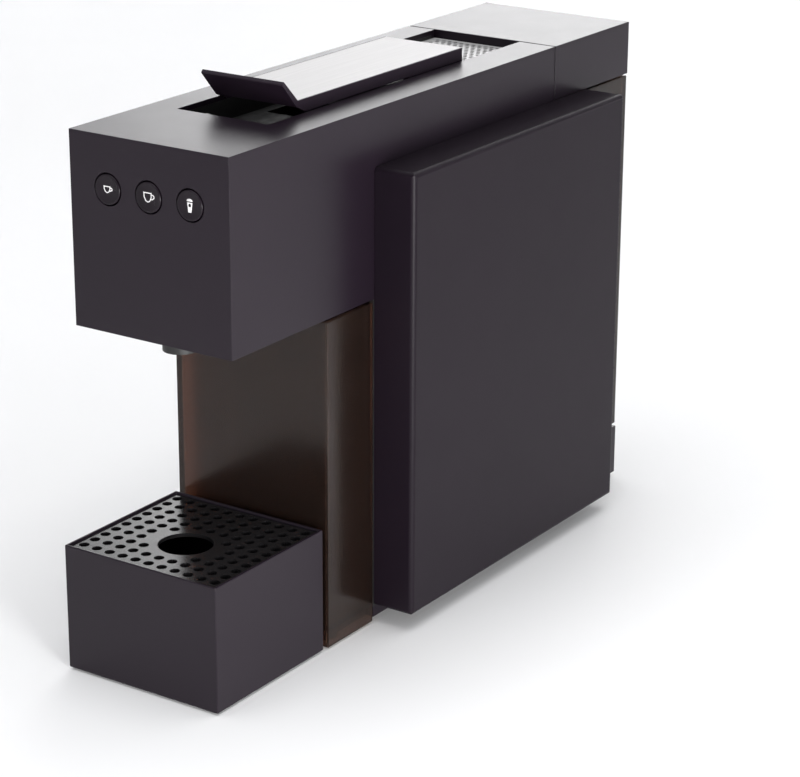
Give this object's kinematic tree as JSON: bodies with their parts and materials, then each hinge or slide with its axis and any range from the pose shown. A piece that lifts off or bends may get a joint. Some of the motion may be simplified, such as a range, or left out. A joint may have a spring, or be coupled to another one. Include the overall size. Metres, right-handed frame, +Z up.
{
  "type": "pod coffee machine",
  "caption": "Slim pod coffee machine with a cam lever, pull-out capsule bin, drip tray with grid, push buttons, side panels and a lift-off water tank with lid.",
  "frame": {"origin": "centre of the whole machine's footprint, on the surface it stands on", "axes": "+Z up; the front with the buttons and the drip tray faces -Y; +X is to the right when looking along +Y from the front"},
  "size_m": [0.128, 0.345, 0.262],
  "materials": {
    "body_plastic": "satin, finely textured",
    "inner_plastic": "matt",
    "lever_plastic": "satin",
    "button_plastic": "gloss",
    "grid_plastic": "satin",
    "smoke_plastic": "gloss, smoke tinted, translucent",
    "inlay_metal": "satin",
    "vent_metal": "satin",
    "steel": "brushed",
    "cast_aluminium": "cast",
    "pump_metal": "satin",
    "rubber": "matt",
    "silicone": "satin",
    "white_plastic": "matt",
    "circuit_board": "satin"
  },
  "bodies": {
    "chassis": {"base": "body_plastic", "feet": "rubber", "core": "inner_plastic", "side_panel_left": "body_plastic", "side_panel_right": "body_plastic", "head_shell": "body_plastic", "head_floor": "body_plastic", "recess_tub": "inner_plastic", "vent_plate": "vent_metal", "spout": "inner_plastic", "coffee_tube": "silicone", "brew_frame": "inner_plastic", "capsule_holder": "inner_plastic", "hinge_pin": "steel", "lever_switch": "inner_plastic", "button_board": "circuit_board", "control_board": "circuit_board", "pump": "pump_metal", "pump_mounts": "rubber", "thermoblock": "cast_aluminium", "flow_meter": "white_plastic", "valve_socket": "inner_plastic", "suction_hose": "silicone", "inlet_hose": "silicone", "pressure_hose": "silicone", "hot_line": "silicone", "cord_gland": "rubber", "base_screws": "steel", "panel_screws": "steel"},
    "lever": {"lever": "lever_plastic", "lever_inlay": "inlay_metal"},
    "injector": {"injector": "inner_plastic", "cross_pin": "steel", "injector_needles": "steel"},
    "button_left": {"button_left": "button_plastic"},
    "button_middle": {"button_middle": "button_plastic"},
    "button_right": {"button_right": "button_plastic"},
    "capsule_bin": {"capsule_bin": "smoke_plastic"},
    "drip_tray": {"drip_tray": "body_plastic"},
    "drip_grid": {"drip_grid": "grid_plastic"},
    "water_tank": {"water_tank": "smoke_plastic", "tank_valve": "rubber"},
    "tank_lid": {"tank_lid": "body_plastic"}
  },
  "joints": [
    {"name": "lever_hinge", "type": "hinge", "parent": "chassis", "child": "lever", "pos_m": [0, 0.0435, 0.243], "axis": [-1, 0, 0], "range_deg": [0, 85]},
    {"name": "injector_slide", "type": "slide", "parent": "chassis", "child": "injector", "axis": [0, 1, 0], "range_m": [0, 0.02601]},
    {"name": "left_button_press", "type": "slide", "parent": "chassis", "child": "button_left", "axis": [0, 1, 0], "range_m": [0, 0.0012], "stiffness_N_per_m": 400, "springref_m": -0.001},
    {"name": "middle_button_press", "type": "slide", "parent": "chassis", "child": "button_middle", "axis": [0, 1, 0], "range_m": [0, 0.0012], "stiffness_N_per_m": 400, "springref_m": -0.001},
    {"name": "right_button_press", "type": "slide", "parent": "chassis", "child": "button_right", "axis": [0, 1, 0], "range_m": [0, 0.0012], "stiffness_N_per_m": 400, "springref_m": -0.001},
    {"name": "bin_slide", "type": "slide", "parent": "chassis", "child": "capsule_bin", "axis": [0, -1, 0], "range_m": [0, 0.12]},
    {"name": "tray_pull", "type": "slide", "parent": "capsule_bin", "child": "drip_tray", "axis": [0, -1, 0], "range_m": [0, 0.09]},
    {"name": "grid_lift", "type": "slide", "parent": "drip_tray", "child": "drip_grid", "axis": [0, 0, 1], "range_m": [0, 0.03]},
    {"name": "tank_lift", "type": "slide", "parent": "chassis", "child": "water_tank", "axis": [0, 0, 1], "range_m": [0, 0.235]},
    {"name": "lid_lift", "type": "slide", "parent": "water_tank", "child": "tank_lid", "axis": [0, 0, 1], "range_m": [0, 0.05]}
  ],
  "couplings": [
    {"joint": "injector_slide", "follows": "lever_hinge", "m_per_rad": 0.017526}
  ]
}
